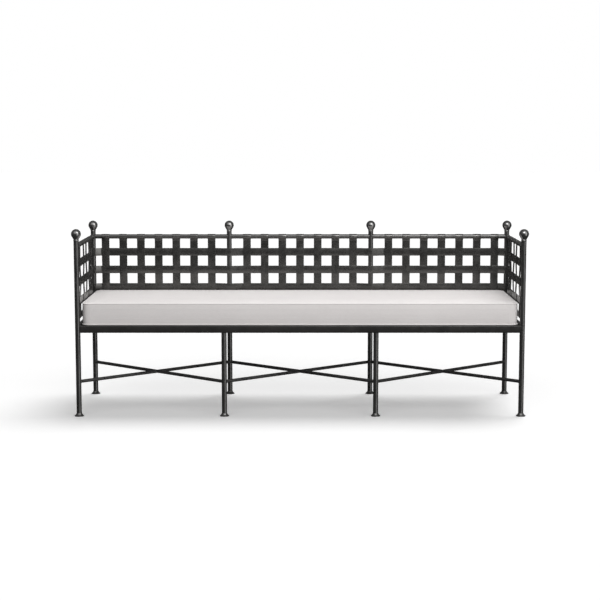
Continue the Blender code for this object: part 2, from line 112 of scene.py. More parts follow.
class Nodes:
    """A short way to write a material's nodes."""

    def __init__(self, name):
        self.material = bpy.data.materials.new(name)
        self.material.use_nodes = True
        self.tree = self.material.node_tree
        self.shader = self.tree.nodes["Principled BSDF"]
        coordinates = self.tree.nodes.new("ShaderNodeTexCoord")
        self.place = coordinates.outputs["Object"]

    def link(self, source, target):
        self.tree.links.new(source, target)

    def noise(self, scale, detail=3.0, roughness=0.55, place=None):
        node = self.tree.nodes.new("ShaderNodeTexNoise")
        node.inputs["Scale"].default_value = scale
        node.inputs["Detail"].default_value = detail
        node.inputs["Roughness"].default_value = roughness
        self.link(place or self.place, node.inputs["Vector"])
        return node.outputs["Fac"]

    def cells(self, scale):
        node = self.tree.nodes.new("ShaderNodeTexVoronoi")
        node.feature = "SMOOTH_F1"
        node.inputs["Scale"].default_value = scale
        node.inputs["Smoothness"].default_value = 0.6
        self.link(self.place, node.inputs["Vector"])
        return node.outputs["Distance"]

    def ramp(self, value, low, high, colours):
        node = self.tree.nodes.new("ShaderNodeValToRGB")
        node.color_ramp.elements[0].position = low
        node.color_ramp.elements[1].position = high
        for element, colour in zip(node.color_ramp.elements, colours):
            element.color = (*colour, 1.0)
        self.link(value, node.inputs["Fac"])
        return node.outputs["Color"]

    def spread(self, value, low, high, to_low, to_high):
        node = self.tree.nodes.new("ShaderNodeMapRange")
        for socket, number in zip(node.inputs[1:5], (low, high, to_low, to_high)):
            socket.default_value = number
        self.link(value, node.inputs[0])
        return node.outputs[0]

    def math(self, operation, first, second):
        return math_node(self.tree, operation, first, second)

    def stretched(self, scale):
        """The place, scaled by a different number along each axis."""
        node = self.tree.nodes.new("ShaderNodeMapping")
        node.inputs["Scale"].default_value = scale
        self.link(self.place, node.inputs["Vector"])
        return node.outputs["Vector"]

    def mix(self, factor, first, second):
        node = self.tree.nodes.new("ShaderNodeMix")
        node.data_type = "RGBA"
        for socket, value in zip((node.inputs[0], node.inputs[6], node.inputs[7]),
                                 (factor, first, second)):
            if isinstance(value, (int, float)):
                socket.default_value = value
            elif isinstance(value, tuple):
                socket.default_value = (*value, 1.0)
            else:
                self.link(value, socket)
        return node.outputs[2]

    def bump(self, height, depth, distance, below=None):
        node = self.tree.nodes.new("ShaderNodeBump")
        node.inputs["Strength"].default_value = depth
        node.inputs["Distance"].default_value = distance
        self.link(height, node.inputs["Height"])
        if below is not None:
            self.link(below, node.inputs["Normal"])
        return node.outputs["Normal"]


def powder_coat(name, dark, light, roughness, metallic):
    """Charcoal powder coat: fine orange peel over softly hammered metal, with rubbed patches."""
    kit = Nodes(name)
    broad = kit.noise(9.0, 4.0)
    flecks = kit.noise(900.0, 2.0)
    tone = kit.ramp(broad, 0.32, 0.70, (dark, light))
    speck = kit.spread(flecks, 0.62, 0.80, 0.0, 0.35)
    lighter = tuple(min(1.0, 2.4 * channel) for channel in light)
    kit.link(kit.mix(speck, tone, lighter), kit.shader.inputs["Base Color"])
    rough = kit.spread(kit.noise(38.0, 3.0), 0.3, 0.7, roughness - 0.06, roughness + 0.07)
    kit.link(rough, kit.shader.inputs["Roughness"])
    hammered = kit.bump(kit.cells(95.0), 0.10, 0.0010)
    peel = kit.bump(kit.noise(1500.0, 2.0), 0.16, 0.0002, hammered)
    kit.link(peel, kit.shader.inputs["Normal"])
    kit.shader.inputs["Metallic"].default_value = metallic
    return kit.material


def canvas(name, dark, light, thread):
    """Woven off-white canvas: threads with painted shade in the weave's hollows, slubs, an
    uneven tone, and puckers near the ends.
    """
    kit = Nodes(name)
    split = kit.tree.nodes.new("ShaderNodeSeparateXYZ")
    kit.link(kit.place, split.inputs[0])
    waves = []
    for axis in range(3):
        turn = kit.math("MULTIPLY", split.outputs[axis], math.tau / thread)
        waves.append(kit.math("SINE", turn, 0.0))
    weave = kit.math("ADD", kit.math("ADD", waves[0], waves[1]), waves[2])
    slubs = kit.noise(3.0, 3.0, 0.6, kit.stretched((18.0, 140.0, 140.0)))
    patches = kit.noise(3.2, 3.0)
    mottle = kit.math("ADD", kit.math("MULTIPLY", slubs, 0.55),
                      kit.math("MULTIPLY", patches, 0.45))
    tone = kit.ramp(mottle, 0.34, 0.66, (dark, light))
    # Painted shade: the base colour darkens in the weave's hollows, where shade falls between
    # the threads.
    shade = kit.spread(weave, -2.0, 2.0, 0.20, 0.0)
    kit.link(kit.mix(shade, tone, tuple(0.82 * channel for channel in dark)),
             kit.shader.inputs["Base Color"])
    cloth = kit.bump(slubs, 0.20, 0.0004, kit.bump(weave, 0.35, 0.00025))
    gathers = kit.noise(1.0, 2.0, 0.5, kit.stretched((95.0, 95.0, 9.0)))
    to_end = kit.math("ABSOLUTE", split.outputs[0], 0.0)
    near_end = kit.spread(to_end, PUCKER_START, PUCKER_END, 0.0, 1.0)
    puckers = kit.math("MULTIPLY", near_end, gathers)
    kit.link(kit.bump(puckers, 0.7, 0.0040, cloth), kit.shader.inputs["Normal"])
    kit.link(kit.spread(patches, 0.3, 0.7, 0.86, 0.95), kit.shader.inputs["Roughness"])
    kit.shader.inputs["Specular IOR Level"].default_value = 0.25
    kit.shader.inputs["Sheen Weight"].default_value = 0.25
    kit.shader.inputs["Sheen Roughness"].default_value = 0.5
    return kit.material


TUBE_PAINT = powder_coat("tube_powder_coat", (0.082, 0.081, 0.080), (0.122, 0.120, 0.118),
                         0.30, 0.80)
# The seat rails take a darker copy of the frame's powder coat: painted shade for the shade they
# sit in under the cushion's front edge.
SHADED_RAIL_PAINT = powder_coat("rail_powder_coat", (0.046, 0.044, 0.043), (0.070, 0.067, 0.065),
                         0.34, 0.70)
STRAP_PAINT = powder_coat("strap_powder_coat", (0.086, 0.085, 0.082), (0.126, 0.124, 0.120),
                          0.25, 0.80)
BALL_PAINT = powder_coat("ball_powder_coat", (0.180, 0.179, 0.177), (0.250, 0.248, 0.245),
                         0.26, 0.90)
FOOT_PAINT = powder_coat("foot_powder_coat", (0.100, 0.099, 0.098), (0.150, 0.148, 0.146),
                         0.34, 0.80)
WELD_PAINT = powder_coat("weld_powder_coat", (0.085, 0.084, 0.083), (0.130, 0.128, 0.126),
                         0.40, 0.80)
COVER_CLOTH = canvas("cover_canvas", (0.745, 0.712, 0.703), (0.805, 0.774, 0.765), 0.0011)
WELT_CLOTH = canvas("welt_canvas", (0.745, 0.715, 0.706), (0.81, 0.78, 0.77), 0.0010)
ZIP_PAINT = powder_coat("zip_pull_coat", (0.30, 0.30, 0.29), (0.40, 0.40, 0.39), 0.3, 0.9)


# Mesh tools ----------------------------------------------------------------------------------
def finish_piece(name, form, material, body, replaced, smooth_angle=40.0):
    """Turns a bmesh into a shown piece that rides on its body."""
    bmesh.ops.recalc_face_normals(form, faces=form.faces)
    mesh = bpy.data.meshes.new(name)
    form.to_mesh(mesh)
    form.free()
    mesh.shade_smooth()
    mesh.set_sharp_from_angle(angle=math.radians(smooth_angle))
    mesh.materials.append(material)
    obj = bpy.data.objects.new(name, mesh)
    bpy.context.scene.collection.objects.link(obj)
    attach(obj, body)
    if replaced:
        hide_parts(*replaced)
    return obj


def add_loft(form, rings, closed_path=False):
    """Joins rings of points with quads, and caps the two ends unless the path is a loop."""
    made = [[form.verts.new(point) for point in ring] for ring in rings]
    pairs = list(zip(made, made[1:]))
    if closed_path:
        pairs.append((made[-1], made[0]))
    count = len(made[0])
    for low, high in pairs:
        for i in range(count):
            j = (i + 1) % count
            form.faces.new((low[i], low[j], high[j], high[i]))
    if not closed_path:
        form.faces.new(made[0])
        form.faces.new(made[-1])


def add_sweep(form, path, reference, profile, closed=False, swell=None):
    """Carries a profile along a path. Its first axis leans to the reference direction."""
    count = len(path)
    rings = []
    for i, point in enumerate(path):
        before = path[i - 1] if (closed or i) else path[i]
        after = path[(i + 1) % count] if (closed or i < count - 1) else path[i]
        along = (after - before).normalized()
        side = (reference - along * reference.dot(along)).normalized()
        over = along.cross(side)
        grow = swell(i) if swell else 1.0
        rings.append([point + side * (a * grow) + over * (b * grow) for a, b in profile])
    add_loft(form, rings, closed)


def add_turned(form, profile, place, sides):
    """Spins a profile of (radius, height) about an upright axis. Radius 0 makes a pole."""
    rings = []
    for radius, height in profile:
        if radius == 0.0:
            rings.append([form.verts.new(place + Z_AXIS * height)])
            continue
        ring = []
        for step in range(sides):
            angle = math.tau * step / sides
            offset = Vector((radius * math.cos(angle), radius * math.sin(angle), height))
            ring.append(form.verts.new(place + offset))
        rings.append(ring)
    for low, high in zip(rings, rings[1:]):
        for step in range(sides):
            after = (step + 1) % sides
            if len(low) == 1:
                form.faces.new((low[0], high[step], high[after]))
            elif len(high) == 1:
                form.faces.new((low[step], low[after], high[0]))
            else:
                form.faces.new((low[step], low[after], high[after], high[step]))


def circle(radius, sides):
    return [(radius * math.cos(math.tau * i / sides), radius * math.sin(math.tau * i / sides))
            for i in range(sides)]


def rounded_rectangle(half_a, half_b, radius, steps):
    points = []
    for quarter, (a, b) in enumerate(((1, 1), (-1, 1), (-1, -1), (1, -1))):
        for step in range(steps + 1):
            angle = (quarter + step / steps) * math.pi / 2
            points.append((a * (half_a - radius) + radius * math.cos(angle),
                           b * (half_b - radius) + radius * math.sin(angle)))
    return points


def spaced(points, spacing):
    """The same broken line with points at an even spacing."""
    line = [points[0]]
    for start, end in zip(points, points[1:]):
        count = max(1, round((end - start).length / spacing))
        line += [start.lerp(end, step / count) for step in range(1, count + 1)]
    return line


def softened(points, rounds):
    """Rounds a line's bends by averaging each point with its neighbours."""
    for _ in range(rounds):
        inner = [(a + b * 2 + c) / 4 for a, b, c in zip(points, points[1:], points[2:])]
        points = [points[0], *inner, points[-1]]
    return points


def thinned(points, bend):
    """Drops points from a line's straight stretches."""
    kept = [points[0]]
    for before, point, after in zip(points, points[1:], points[2:]):
        turn = (point - before).angle(after - point)
        if turn > bend or (point - kept[-1]).length > 0.02:
            kept.append(point)
    return [*kept, points[-1]]


# Posts, finials, feet ------------------------------------------------------------------------
POST_EDGE = 0.0008
BALL_STEPS = 22
BALL_LEAVES = math.radians(-38)          # where the ball is drawn down to its neck
NECK_RADIUS = POST_RADIUS - 0.0006
COLLAR_Z = 0.0021                        # the collar's middle above the post's top
COLLAR_ROUND = 0.0022
COLLAR_CORE = POST_RADIUS - 0.0008
FOOT_RIM = 0.0015
CONE_STEPS = 10
CONE_HOLLOW = 1.7                        # above 1 the foot's cone curves inwards


def post_piece(name):
    node = "post_" + name
    low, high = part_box(node)
    place = Vector((middle(node).x, middle(node).y, 0.0))
    profile = [(0.0, low.z), (POST_RADIUS - POST_EDGE, low.z), (POST_RADIUS, low.z + POST_EDGE),
               (POST_RADIUS, high.z - POST_EDGE), (POST_RADIUS - POST_EDGE, high.z),
               (0.0, high.z)]
    form = bmesh.new()
    add_turned(form, profile, place, TUBE_SIDES)
    finish_piece("post_tube_" + name, form, TUBE_PAINT, "frame", [node])


def finial_piece(name):
    """A ball drawn down to a short neck, standing on a rounded collar."""
    node = "finial_" + name
    place = Vector((middle(node).x, middle(node).y, 0.0))
    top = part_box(node)[1].z
    radius = size(node).x / 2
    ball_z = top - radius
    collar_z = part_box("post_" + name)[1].z + COLLAR_Z
    profile = [(0.0, top)]
    for step in range(1, BALL_STEPS + 1):
        angle = math.pi / 2 + (BALL_LEAVES - math.pi / 2) * step / BALL_STEPS
        profile.append((radius * math.cos(angle), ball_z + radius * math.sin(angle)))
    profile.append((NECK_RADIUS + 0.0012, collar_z + 0.0046))
    profile.append((NECK_RADIUS, collar_z + 0.0030))
    for step in range(9):
        angle = math.radians(75 - 150 * step / 8)
        profile.append((COLLAR_CORE + COLLAR_ROUND * math.cos(angle),
                        collar_z + COLLAR_ROUND * math.sin(angle)))
    profile.append((NECK_RADIUS - 0.002, collar_z - COLLAR_ROUND))
    profile.append((0.0, collar_z - COLLAR_ROUND))
    form = bmesh.new()
    add_turned(form, profile, place, BALL_SIDES)
    finish_piece("ball_finial_" + name, form, BALL_PAINT, "frame", [node])


def foot_piece(name):
    """A flared disc foot: a rounded rim, a hollow cone up to the post, and a sleeve."""
    node = "foot_" + name
    place = Vector((middle(node).x, middle(node).y, 0.0))
    radius = size(node).x / 2
    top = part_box("post_" + name)[0].z
    profile = [(0.0, 0.0), (radius - FOOT_RIM * 0.8, 0.0)]
    for step in range(7):
        angle = math.radians(-70 + 150 * step / 6)
        profile.append((radius - FOOT_RIM + FOOT_RIM * math.cos(angle),
                        FOOT_RIM + FOOT_RIM * math.sin(angle)))
    for step in range(1, CONE_STEPS + 1):
        share = step / CONE_STEPS
        flare = (radius - FOOT_RIM - POST_RADIUS) * (1 - share) ** CONE_HOLLOW
        profile.append((POST_RADIUS + 0.0011 + flare,
                        2 * FOOT_RIM + (top - 2 * FOOT_RIM - 0.001) * share))
    profile.append((POST_RADIUS + 0.0003, top + 0.0004))
    profile.append((0.0, top + 0.0004))
    form = bmesh.new()
    add_turned(form, profile, place, TUBE_SIDES)
    finish_piece("disc_foot_" + name, form, FOOT_PAINT, "frame", [node])


def make_posts():
    for column in COLUMNS:
        for row in ("front_", "back_"):
            name = row + column
            post_piece(name)
            foot_piece(name)
            if "finial_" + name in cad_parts:
                finial_piece(name)


# Rails and welds -----------------------------------------------------------------------------
RAIL_BITE = 0.0035           # how far a rail's end runs into its post
ROD_BITE = 0.003
WELD_RADIUS = 0.0013
WELD_SIDES = 8


def round_bar(name, start, end, radius, node):
    form = bmesh.new()
    add_sweep(form, [start, end], Z_AXIS, circle(radius, TUBE_SIDES))
    finish_piece(name, form, TUBE_PAINT, "frame", [node])


def saddle(bar_start, bar_direction, bar_radius, post_radius, sides=40):
    """The closed line where a level bar meets an upright post whose axis it starts on."""
    across = bar_direction.cross(Z_AXIS).normalized()
    line = []
    for step in range(sides):
        angle = math.tau * step / sides
        sideways = bar_radius * math.cos(angle)
        reach = math.sqrt(post_radius ** 2 - min(sideways ** 2, (post_radius * 0.995) ** 2))
        line.append(bar_start + bar_direction * reach + across * sideways
                    + Z_AXIS * (bar_radius * math.sin(angle)))
    return line


def add_weld(form, line, reference):
    """A bead of weld along a closed line, with the small ripples a torch leaves."""
    def ripple(i):
        return 1.0 + 0.14 * math.sin(i * 2.4) + 0.22 * noise.noise(line[i] * 190.0)
    add_sweep(form, line, reference, circle(WELD_RADIUS, WELD_SIDES), closed=True, swell=ripple)


def weld_piece(name, joints):
    """One group of like welds: each joint is (point on the post's axis, direction, radius)."""
    form = bmesh.new()
    for place, direction, radius in joints:
        add_weld(form, saddle(place, direction, radius, POST_RADIUS), direction)
    finish_piece(name, form, WELD_PAINT, "frame", [], 60.0)


def rail_runs():
    """The end of each round rail's name, and the middles of its two posts."""
    for bay, (first, last) in BAYS.items():
        yield ("back_" + bay, middle("post_back_" + first), middle("post_back_" + last))
    for side in ("left", "right"):
        yield ("arm_" + side, middle("post_front_" + side), middle("post_back_" + side))


def make_rails():
    joints = []
    for name, first, last in rail_runs():
        for level, kind in ((TOP_RAIL_Z, "top"), (LOW_RAIL_Z, "low")):
            start = Vector((first.x, first.y, level))
            end = Vector((last.x, last.y, level))
            along = (end - start).normalized()
            inset = POST_RADIUS - RAIL_BITE
            is_top = kind == "top"
            round_bar(f"{kind}_rail_tube_{name}", start + along * inset, end - along * inset,
                      RAIL_RADIUS,
                      ("top_rail_" if is_top else "low_rail_and_uprights_") + name)
            joints += [(start, along, RAIL_RADIUS), (end, -along, RAIL_RADIUS)]
    weld_piece("rail_welds", joints)


# The woven lattice ---------------------------------------------------------------------------
CROSSING_REACH = STRAP_WIDTH / 2 + 0.002     # a strap stays flat this far from a crossing,
AT_POST_REACH = 0.005                        # and this far from a middle post's axis
LOOP_CLOSES = 0.0180                         # from the rail's centre to where a loop closes
LOOP_STEPS = 30
LAP = 0.004                                  # from a level strap's end to its post's axis
STRAP_PROFILE = rounded_rectangle(STRAP_WIDTH / 2, STRAP_THICKNESS / 2, 0.0006, 3)


class Panel:
    """One side's lattice. A point in it is along, out (away from the sitter) and up."""

    def __init__(self, name, origin, along, out, uprights, plane, turned=()):
        self.name = name
        self.plane = plane
        self.turned = turned     # the uprights that hang on the other side of the rails
        self.origin = origin
        self.along = along
        self.out = out
        self.uprights = uprights

    def point(self, along, out, up):
        return self.origin + self.along * along + self.out * out + Z_AXIS * up


def panels():
    backs = {k: k * PITCH for k in range(-BACK_PLACES, BACK_PLACES + 1)}
    yield Panel("back", Vector((0, HALF_DEPTH, 0)), X_AXIS, Y_AXIS, backs, 0.0)
    last = ARM_STRAPS - 1
    arms = {j: (j - last / 2) * PITCH + ARM_SHIFT for j in range(ARM_STRAPS)}
    arms[0] = -HALF_DEPTH + ARM_FRONT_GAP
    arms[last] = HALF_DEPTH - ARM_BACK_GAP
    for side, sign in (("left", -1), ("right", 1)):
        origin = Vector((sign * HALF_LENGTH, 0, 0))
        yield Panel("arm_" + side, origin, Y_AXIS, X_AXIS * sign, arms, ARM_PLANE, (last,))


def crossing_plane(panel, index):
    """How far out the lattice lies at one upright."""
    return -panel.plane if index in panel.turned else panel.plane


def in_front(index, row):
    """Whether the upright passes on the sitter's side of the level strap there."""
    return (index + row) % 2 == 1


def is_post(panel, index):
    return panel.name == "back" and abs(index) == POST_PLACE


def arc(panel, along, rail_z, sign, side, start, turn):
    """Points round a rail. Angle 0 is beneath it, or above it where the sign is -1."""
    points = []
    for step in range(LOOP_STEPS + 1):
        angle = start + turn * step / LOOP_STEPS
        points.append(panel.point(along, side * LOOP_RADIUS * math.sin(angle),
                                  rail_z - sign * LOOP_RADIUS * math.cos(angle)))
    return points


def closed_loop(panel, along, rail_z, sign, side):
    """Round a rail from behind and back in beneath it; sign -1 goes under the rail instead."""
    leave = math.acos(LOOP_RADIUS / LOOP_CLOSES)
    tail = STRAP_THICKNESS + TOUCH
    return [panel.point(along, side * tail, rail_z - sign * (LOOP_CLOSES + 0.009)),
            panel.point(along, side * tail, rail_z - sign * (LOOP_CLOSES + 0.001)),
            *arc(panel, along, rail_z, sign, side, leave, math.tau - 2 * leave),
            panel.point(along, 0.0, rail_z - sign * LOOP_CLOSES)]


def open_loop(panel, along, rail_z, sign, side):
    """Round a rail's far side and off it straight down its inner face; sign -1 goes under."""
    return arc(panel, along, rail_z, sign, side, math.radians(50), math.radians(220))


def upright_line(panel, index):
    """An upright strap's path: round the top rail, through the rows, round the low rail."""
    along = panel.uprights[index]
    side = -1 if index in panel.turned else 1
    loop = open_loop if panel.plane else closed_loop
    line = loop(panel, along, TOP_RAIL_Z, 1, side)
    for row, height in enumerate(ROWS_Z):
        out = crossing_plane(panel, index) + (-WEAVE if in_front(index, row) else WEAVE)
        line.append(panel.point(along, out, height + CROSSING_REACH))
        line.append(panel.point(along, out, height - CROSSING_REACH))
    line += reversed(loop(panel, along, LOW_RAIL_Z, -1, side))
    return thinned(softened(spaced(line, 0.0012), 5), math.radians(0.35))


def upright_piece(panel, index, number):
    form = bmesh.new()
    add_sweep(form, upright_line(panel, index), panel.along, STRAP_PROFILE)
    node = "low_rail_and_uprights_" + panel.name
    if panel.name == "back":
        node += "_left" if index < -POST_PLACE else "_right" if index > POST_PLACE else "_middle"
    finish_piece(f"upright_strap_{panel.name}_{number:02d}", form, STRAP_PAINT,
                 "frame", [node])


def level_line(panel, row):
    """A level strap's path: lapped on its end posts, past the middle ones, and woven."""
    is_back = panel.name == "back"
    if is_back:
        lap = HALF_LENGTH - LAP
        places = [(-lap, -PAST_POST), (0.006 - lap, -PAST_POST)]
        after = [(lap - 0.006, -PAST_POST), (lap, -PAST_POST)]
    else:
        places = [(-HALF_DEPTH - LAP, -PAST_POST), (-HALF_DEPTH + 0.003, -PAST_POST)]
        after = []
    for index, along in sorted(panel.uprights.items()):
        if is_post(panel, index):
            out, half = -PAST_POST, AT_POST_REACH
        else:
            out = crossing_plane(panel, index) + (WEAVE if in_front(index, row) else -WEAVE)
            half = CROSSING_REACH if is_back else CROSSING_REACH - 0.0015
        places += [(along - half, out), (along + half, out)]
    line = [panel.point(along, out, ROWS_Z[row]) for along, out in places + after]
    return thinned(softened(spaced(line, 0.0015), 8), math.radians(0.25))


def make_lattice():
    for panel in panels():
        indices = [index for index in sorted(panel.uprights) if not is_post(panel, index)]
        for number, index in enumerate(indices, 1):
            upright_piece(panel, index, number)
        for row in range(3):
            form = bmesh.new()
            add_sweep(form, level_line(panel, row), Z_AXIS, STRAP_PROFILE)
            name = f"{panel.name}_{row + 1}"
            finish_piece("level_strap_" + name, form, STRAP_PAINT, "frame",
                         ["woven_strap_" + name])


# Seat rails, deck and stretchers -------------------------------------------------------------
SEAT_RAIL_EDGE = 0.0028


def make_seat_rails():
    for name in ("front", "left", "right", "back_left", "back_middle", "back_right"):
        node = "seat_rail_" + name
        centre, span = middle(node), size(node)
        along = X_AXIS if span.x > span.y else Y_AXIS
        half = max(span.x, span.y) / 2
        wide = min(span.x, span.y) / 2
        form = bmesh.new()
        profile = rounded_rectangle(span.z / 2, wide, SEAT_RAIL_EDGE, 5)
        add_sweep(form, [centre - along * half, centre + along * half], Z_AXIS, profile)
        # The seat rails' darker paint is painted shade, not a different coat.
        finish_piece("seat_rail_bar_" + name, form, SHADED_RAIL_PAINT, "frame", [node])


def make_decks():
    """The grid of flat bars under the cushion, with eased edges."""
    for bay in BAYS:
        node = "seat_deck_" + bay
        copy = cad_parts[node].data.copy()
        form = bmesh.new()
        form.from_mesh(copy)
        bpy.data.meshes.remove(copy)
        bmesh.ops.remove_doubles(form, verts=form.verts, dist=0.00002)
        flat = [edge for edge in form.edges if edge.calc_face_angle(0.0) < 0.01]
        bmesh.ops.dissolve_edges(form, edges=flat, use_verts=True)
        sharp = [edge for edge in form.edges if edge.calc_face_angle(0.0) > 0.5]
        bmesh.ops.bevel(form, geom=sharp, offset=0.0006, segments=2, profile=0.5,
                        affect="EDGES")
        finish_piece("seat_grid_" + bay, form, STRAP_PAINT, "frame", [node])


def make_stretchers():
    joints = []
    for bay, (first, last) in BAYS.items():
        for way, (front, back) in (("rising", (first, last)), ("falling", (last, first))):
            start = middle("post_front_" + front)
            end = middle("post_back_" + back)
            start.z = end.z = STRETCHER_Z
            along = (end - start).normalized()
            inset = POST_RADIUS - ROD_BITE
            round_bar(f"stretcher_rod_{bay}_{way}", start + along * inset,
                      end - along * inset, STRETCHER_RADIUS,
                      f"stretcher_{bay}_{way}")
            joints += [(start, along, STRETCHER_RADIUS), (end, -along, STRETCHER_RADIUS)]
    weld_piece("stretcher_welds", joints)


# Cushion -------------------------------------------------------------------------------------
COVER_LOW, COVER_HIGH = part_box("cushion_cover")
COVER_HALF = (COVER_HIGH - COVER_LOW) / 2
COVER_MIDDLE = (COVER_HIGH + COVER_LOW) / 2
CORNER = 0.036
SEAM_INSET = 0.0012
LOW_SEAM_Z = COVER_LOW.z + 0.0046
TOP_SEAM_Z = COVER_HIGH.z + 0.0004
LOW_PULL = 0.0036               # how far each seam draws the boxing in
TOP_PULL = 0.0016
CELL = 0.0100                   # the size of the mesh's squares
CUT_CROWN = 0.0062              # how far the top panel is cut to rise inside its seam
CUT_REACH = 0.018               # how soon it rises
CROWN = 0.0062                  # how far the filling may lift it further
FACE_SWELL = 0.0024             # how far it may push out the front and back
END_SWELL = 0.0012              # and the two ends
FILL_FRAMES = 20
WELT_SIDES = 14
ZIP_HALF = 0.55
ZIP_OFF = 0.0016                # how far the flap lies behind the CAD cover's back
FLAP_HALF_WIDTH = 0.0085
TAB_HALF_WIDTH = 0.0035
ZIP_HALF_THICKNESS = 0.0006


def side_levels():
    """Heights and insets up the cushion's side: a rolled lower edge, then the boxing.

    Gives them with the numbers of the levels at which the low and the top seam run.
    """
    rolled = 4
    levels = []
    for step in range(rolled):
        angle = math.pi / 2 * step / rolled
        rise = (LOW_SEAM_Z - COVER_LOW.z) * (1 - math.cos(angle))
        inset = SEAM_INSET + LOW_PULL + 0.002 * (1 - math.sin(angle))
        levels.append((COVER_LOW.z + rise, inset))
    depth = TOP_SEAM_Z - LOW_SEAM_Z
    boxing = 14
    for step in range(boxing + 1):
        rise = depth * (1 - math.cos(math.pi * step / boxing)) / 2
        pull = LOW_PULL * math.exp(-rise / 0.0075) + TOP_PULL * math.exp((rise - depth) / 0.0055)
        levels.append((LOW_SEAM_Z + rise, SEAM_INSET + pull))
    return levels, rolled, rolled + boxing


def plan_place(u, v, inset):
    """A point of the plan, u and v from -1 to 1, with the corners rounded."""
    x, y = u * COVER_HALF.x, v * COVER_HALF.y
    core_x = max(-COVER_HALF.x + CORNER, min(COVER_HALF.x - CORNER, x))
    core_y = max(-COVER_HALF.y + CORNER, min(COVER_HALF.y - CORNER, y))
    away = Vector((x - core_x, y - core_y))
    reach = max(abs(away.x), abs(away.y))
    if away.length > 0.0:
        away = away.normalized() * max(0.0, reach - inset * (reach / CORNER))
    return COVER_MIDDLE.x + core_x + away.x, COVER_MIDDLE.y + core_y + away.y


def cushion_form():
    """The sewn shape before it is filled, and the points that its seams and base hold still."""
    across = round(2 * COVER_HALF.x / CELL)
    deep = round(2 * COVER_HALF.y / CELL)
    levels, low_seam, top_seam = side_levels()
    top = len(levels) - 1
    form = bmesh.new()
    made = {}

    def vertex(i, j, k):
        if (i, j, k) not in made:
            z, inset = levels[k]
            x, y = plan_place(2 * i / across - 1, 2 * j / deep - 1, inset)
            if k == top:
                edge = max(0.0, min(COVER_HIGH.x - abs(x), COVER_HIGH.y - y, y - COVER_LOW.y))
                z += CUT_CROWN * (1 - math.exp(-edge / CUT_REACH))
            made[i, j, k] = form.verts.new((x, y, z))
        return made[i, j, k]

    for i in range(across):
        for j in range(deep):
            for k in (0, top):
                form.faces.new((vertex(i, j, k), vertex(i + 1, j, k),
                                vertex(i + 1, j + 1, k), vertex(i, j + 1, k)))
    for k in range(top):
        for i in range(across):
            for j in (0, deep):
                form.faces.new((vertex(i, j, k), vertex(i + 1, j, k),
                                vertex(i + 1, j, k + 1), vertex(i, j, k + 1)))
        for j in range(deep):
            for i in (0, across):
                form.faces.new((vertex(i, j, k), vertex(i, j + 1, k),
                                vertex(i, j + 1, k + 1), vertex(i, j, k + 1)))
    form.verts.index_update()
    held = []
    for (i, j, k), vert in made.items():
        on_side = i in (0, across) or j in (0, deep)
        held_levels = (low_seam, top_seam) if on_side else (0,)
        if k in held_levels:
            held.append(vert.index)
    bmesh.ops.recalc_face_normals(form, faces=form.faces)
    return form, held


def fill_by_cloth(obj, held):
    """Where each point goes as foam and fibre press the cover out against its seams."""
    scene = bpy.context.scene
    group = obj.vertex_groups.new(name="seams")
    group.add(held, 1.0, "REPLACE")
    cloth = obj.modifiers.new("filling", "CLOTH")
    settings = cloth.settings
    settings.vertex_group_mass = "seams"
    settings.quality = 5
    settings.mass = 0.3
    settings.tension_stiffness = 12.0
    settings.compression_stiffness = 12.0
    settings.bending_stiffness = 0.6
    settings.use_pressure = True
    settings.uniform_pressure_force = 4.0
    settings.effector_weights.gravity = 0.0
    cloth.collision_settings.use_self_collision = False
    for number in range(1, FILL_FRAMES + 1):
        scene.frame_set(number)
    shape = obj.evaluated_get(bpy.context.evaluated_depsgraph_get())
    filled = [vertex.co.copy() for vertex in shape.data.vertices]
    obj.modifiers.remove(cloth)
    obj.vertex_groups.clear()
    scene.frame_set(1)
    return filled


def on_top(place):
    return place.z > TOP_SEAM_Z - 0.0001


def capped(move):
    """How far a point really moves: the ends, the long faces and the crown have limits."""
    limits = (END_SWELL, FACE_SWELL, CROWN)
    return Vector([limit * math.tanh(part / limit) for part, limit in zip(move, limits)])


def settle(obj, filled):
    """Sets each point to its capped place, with the small waves that stuffed cloth has."""
    for vertex, target in zip(obj.data.vertices, filled):
        start = vertex.co.copy()
        place = start + capped(target - start)
        if on_top(start):
            place.z += 0.0006 * noise.noise(start * 6.0) + 0.0003 * noise.noise(start * 21.0)
        elif start.z > LOW_SEAM_Z:
            out = 0.0005 * noise.noise(Vector((start.x * 9.0, start.y * 9.0, start.z * 4.0)))
            place.y += math.copysign(out, start.y)
        place.z = max(place.z, COVER_LOW.z)
        vertex.co = place


def seam_outline(inset):
    """The seam's line in plan, as points round the rounded rectangle."""
    ring = rounded_rectangle(COVER_HALF.x - inset, COVER_HALF.y - inset, CORNER - inset, 12)
    corners = [Vector((COVER_MIDDLE.x + x, COVER_MIDDLE.y + y, 0.0)) for x, y in ring]
    return spaced([*corners, corners[0]], 0.012)[:-1]


def make_welt(name, z, inset, radius, node):
    """Fabric-covered piping, slightly uneven, sewn along one seam."""
    line = [point + Z_AXIS * (z + 0.0003 * noise.noise(point * 8.0))
            for point in seam_outline(inset)]

    def gathers(i):
        return 1.0 + 0.05 * noise.noise(line[i] * 60.0)
    form = bmesh.new()
    add_sweep(form, line, Z_AXIS, circle(radius, WELT_SIDES), closed=True, swell=gathers)
    finish_piece(name, form, WELT_CLOTH, "cushion", [node], 80.0)


